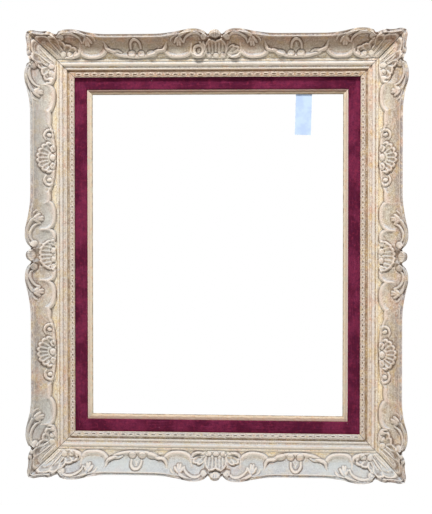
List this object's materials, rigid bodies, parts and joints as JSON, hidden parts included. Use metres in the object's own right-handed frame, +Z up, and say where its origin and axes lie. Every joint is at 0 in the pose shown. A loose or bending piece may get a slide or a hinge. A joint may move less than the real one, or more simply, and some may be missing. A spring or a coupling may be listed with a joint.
{
  "type": "carved wooden picture frame",
  "caption": "Carved, whitewashed wooden picture frame with swept crests, shell ornament, a velvet liner and a painted slip, with hanger rings and turn buttons at the back.",
  "frame": {"origin": "middle of the frame on the wall plane, the flat backs of the four rails", "axes": "+Z up along the long sides, +X to the right as seen from the front, +Y out of the back towards the wall"},
  "size_m": [0.599, 0.0544, 0.7068],
  "materials": {
    "carved_paint": "whitewashed cream over brown, rubbed gold lines",
    "key_wood": "bare hardwood",
    "liner_wood": "bare pine",
    "velvet": "burgundy cotton velvet",
    "slip_paint": "off-white paint",
    "clip_steel": "zinc plated",
    "screw_steel": "zinc plated",
    "hanger_brass": "brass plated",
    "button_brass": "satin brass",
    "tag_paper": "bare pale blue paper"
  },
  "bodies": {
    "frame": {"top_rail": "carved_paint", "bottom_rail": "carved_paint", "left_rail": "carved_paint", "right_rail": "carved_paint", "top_left_key": "key_wood", "top_right_key": "key_wood", "bottom_left_key": "key_wood", "bottom_right_key": "key_wood", "top_liner": "liner_wood", "bottom_liner": "liner_wood", "left_liner": "liner_wood", "right_liner": "liner_wood", "top_velvet": "velvet", "bottom_velvet": "velvet", "left_velvet": "velvet", "right_velvet": "velvet", "top_slip": "slip_paint", "bottom_slip": "slip_paint", "left_slip": "slip_paint", "right_slip": "slip_paint", "liner_clips": "clip_steel", "clip_screws": "screw_steel", "left_hanger_plate": "hanger_brass", "right_hanger_plate": "hanger_brass", "hanger_screws": "hanger_brass", "button_screws": "button_brass", "paper_tag": "tag_paper"},
    "top_button": {"top_button": "button_brass"},
    "bottom_button": {"bottom_button": "button_brass"},
    "left_upper_button": {"left_upper_button": "button_brass"},
    "left_lower_button": {"left_lower_button": "button_brass"},
    "right_upper_button": {"right_upper_button": "button_brass"},
    "right_lower_button": {"right_lower_button": "button_brass"},
    "left_hanger_ring": {"left_hanger_ring": "hanger_brass"},
    "right_hanger_ring": {"right_hanger_ring": "hanger_brass"}
  },
  "joints": [
    {"name": "top_button_turn", "type": "hinge", "parent": "frame", "child": "top_button", "pos_m": [0, -0.0028, 0.27225], "axis": [0, -1, 0], "range_deg": [0, 180]},
    {"name": "bottom_button_turn", "type": "hinge", "parent": "frame", "child": "bottom_button", "pos_m": [0, -0.0028, -0.27225], "axis": [0, -1, 0], "range_deg": [0, 180]},
    {"name": "left_upper_button_turn", "type": "hinge", "parent": "frame", "child": "left_upper_button", "pos_m": [-0.21825, -0.0028, 0.10335], "axis": [0, -1, 0], "range_deg": [0, 180]},
    {"name": "left_lower_button_turn", "type": "hinge", "parent": "frame", "child": "left_lower_button", "pos_m": [-0.21825, -0.0028, -0.10335], "axis": [0, -1, 0], "range_deg": [0, 180]},
    {"name": "right_upper_button_turn", "type": "hinge", "parent": "frame", "child": "right_upper_button", "pos_m": [0.21825, -0.0028, 0.10335], "axis": [0, 1, 0], "range_deg": [0, 180]},
    {"name": "right_lower_button_turn", "type": "hinge", "parent": "frame", "child": "right_lower_button", "pos_m": [0.21825, -0.0028, -0.10335], "axis": [0, 1, 0], "range_deg": [0, 180]},
    {"name": "left_ring_swing", "type": "hinge", "parent": "frame", "child": "left_hanger_ring", "pos_m": [-0.259, 0.0026, 0.12402], "axis": [1, 0, 0], "range_deg": [0, 180]},
    {"name": "right_ring_swing", "type": "hinge", "parent": "frame", "child": "right_hanger_ring", "pos_m": [0.259, 0.0026, 0.12402], "axis": [1, 0, 0], "range_deg": [0, 180]}
  ]
}
